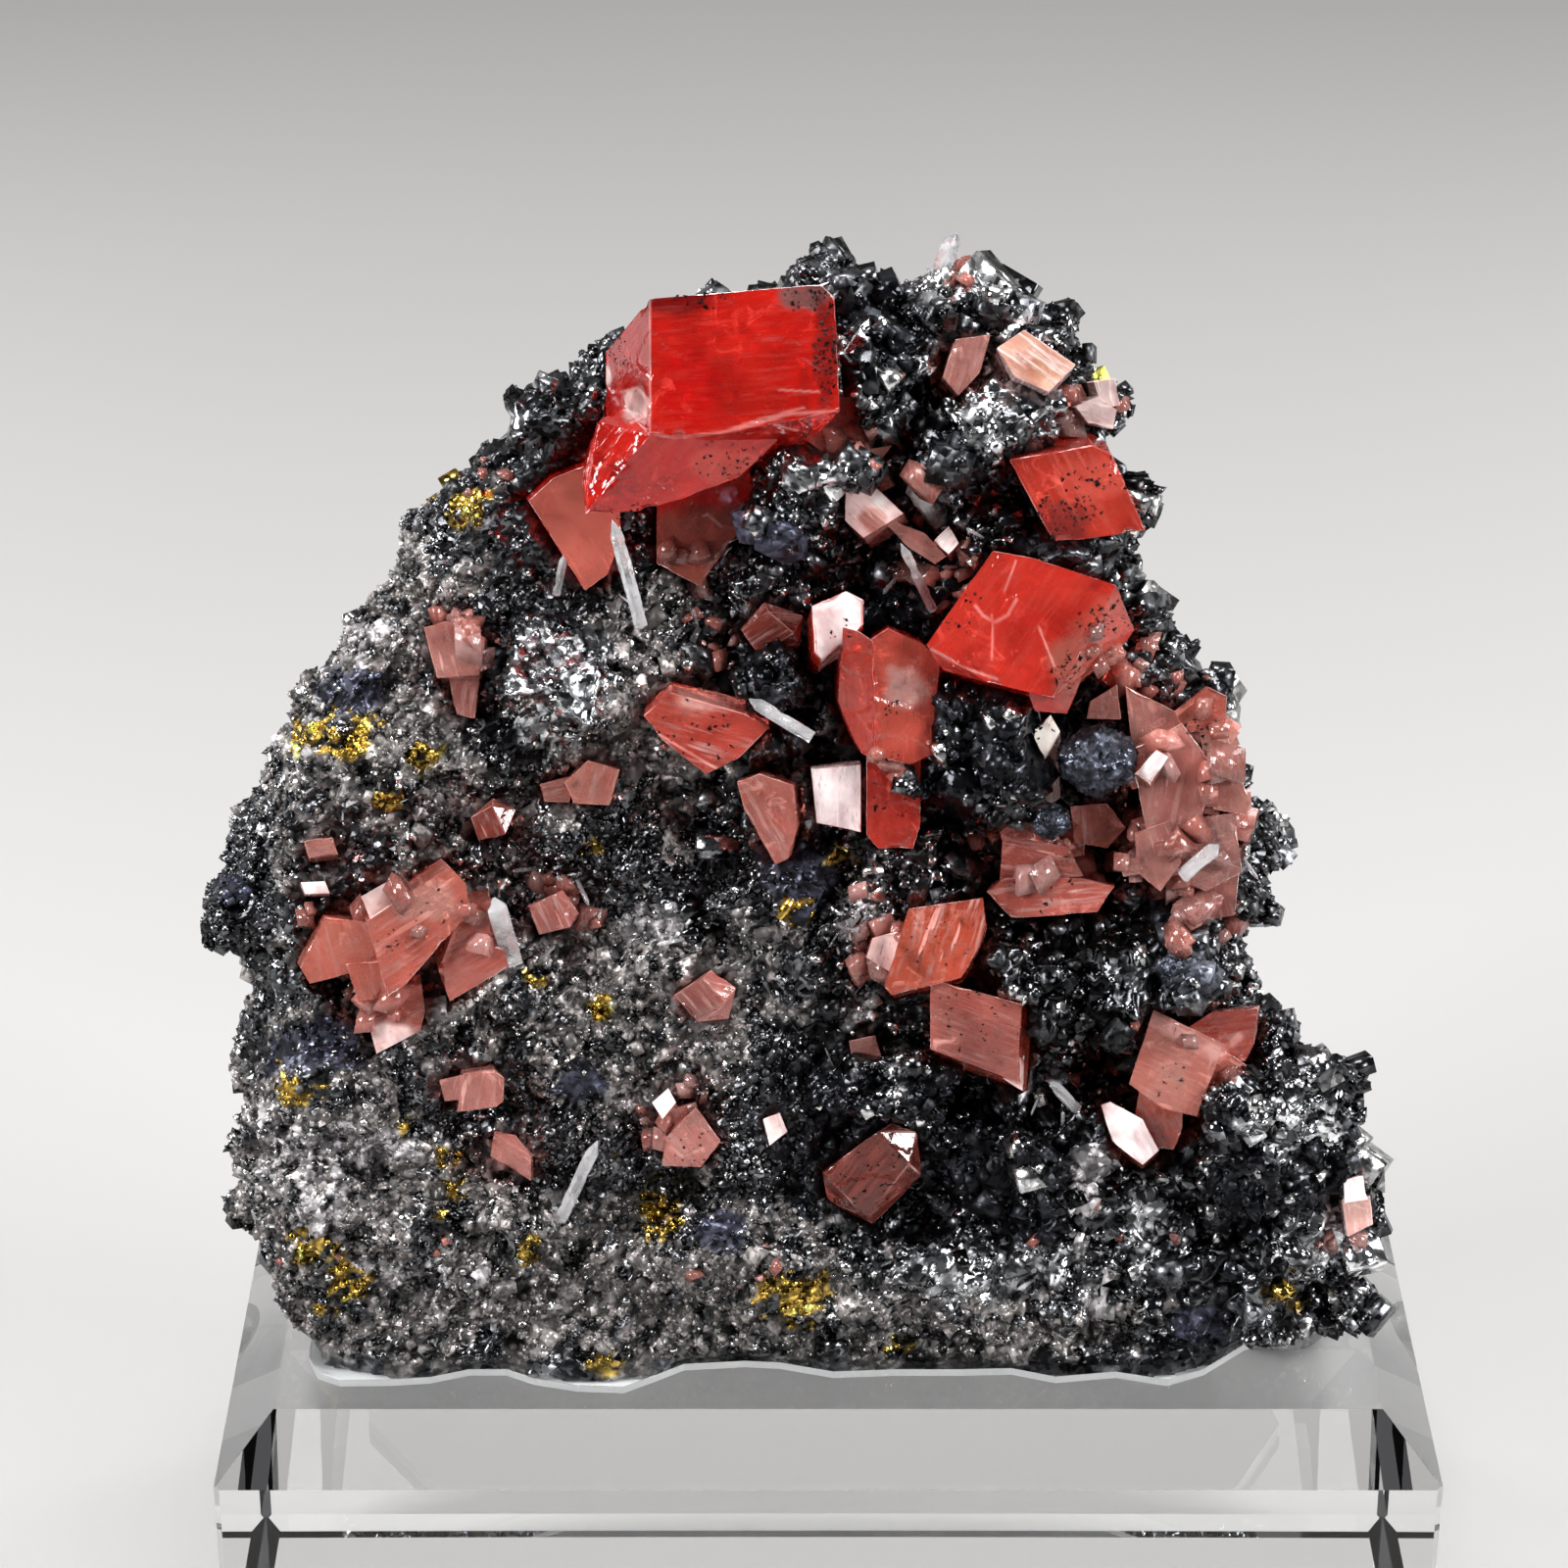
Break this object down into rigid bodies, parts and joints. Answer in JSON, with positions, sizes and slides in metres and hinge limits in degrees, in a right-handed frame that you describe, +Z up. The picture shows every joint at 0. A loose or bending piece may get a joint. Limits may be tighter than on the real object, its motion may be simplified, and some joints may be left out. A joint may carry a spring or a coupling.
{
  "type": "rhodochrosite on matrix",
  "caption": "Red rhodochrosite rhombohedra and quartz needles on a dark sulphide matrix, standing in a pocket of a clear chamfered acrylic base.",
  "frame": {"origin": "middle of the whole specimen's box, on the surface that the bumper feet stand on", "axes": "+Z up, crystals face -Y, +X to the viewer's right"},
  "size_m": [0.126, 0.062, 0.158],
  "materials": {
    "acrylic": "clear, polished",
    "bumper": "clear, slightly frosted",
    "sulphide_matrix": "metallic crystalline sulphides with quartz",
    "red_rhodochrosite": "clear deep red crystal, polished faces",
    "pink_rhodochrosite": "translucent salmon pink crystal",
    "pale_rhodochrosite": "pale pink to white crystal",
    "quartz": "clear, glassy"
  },
  "bodies": {
    "root": {"acrylic_base": "acrylic", "bumper_foot_front_left": "bumper", "bumper_foot_front_right": "bumper", "bumper_foot_back_left": "bumper", "bumper_foot_back_right": "bumper", "matrix": "sulphide_matrix", "largest_crystals": "red_rhodochrosite", "upper_right_crystal": "red_rhodochrosite", "middle_crystals": "red_rhodochrosite", "brown_red_rhomb": "red_rhodochrosite", "pale_pink_crystals": "pink_rhodochrosite", "upper_pink_crystal": "pink_rhodochrosite", "dark_pink_group": "pink_rhodochrosite", "right_edge_crystals": "pink_rhodochrosite", "translucent_crystal": "pink_rhodochrosite", "tilted_red_crystal": "pink_rhodochrosite", "tapering_crystal": "pink_rhodochrosite", "shaded_pink_crystals": "pink_rhodochrosite", "dark_crystal_middle": "pink_rhodochrosite", "dark_crystal_left": "pink_rhodochrosite", "left_cluster": "pink_rhodochrosite", "small_pink_crystal": "pink_rhodochrosite", "pink_by_blade": "pink_rhodochrosite", "upper_left_crystals": "pink_rhodochrosite", "lower_left_rhomb": "pink_rhodochrosite", "frosted_pink_crystal": "pink_rhodochrosite", "lower_left_wedge": "pink_rhodochrosite", "lower_middle_crystals": "pink_rhodochrosite", "striated_and_square_crystals": "pink_rhodochrosite", "shaded_pinks_low": "pink_rhodochrosite", "lower_right_cluster": "pink_rhodochrosite", "top_pink_crystal": "pink_rhodochrosite", "tan_faced_crystal": "pale_rhodochrosite", "upper_edge_pinks": "pale_rhodochrosite", "cream_topped_crystal": "pale_rhodochrosite", "milky_block": "pale_rhodochrosite", "small_white_crystals": "pale_rhodochrosite", "pale_spot_crystal": "pale_rhodochrosite", "right_edge_white_crystal": "pale_rhodochrosite", "quartz_needle_top": "quartz", "quartz_needle_below_large": "quartz", "quartz_needle_left_of_large": "quartz", "quartz_needle_beside_tilted": "quartz", "quartz_blade_left_cluster": "quartz", "quartz_needle_lower_left": "quartz", "quartz_needle_right": "quartz", "quartz_needle_centre": "quartz", "quartz_crystal_upper": "quartz", "quartz_blade_right_edge": "quartz"}
  },
  "joints": []
}
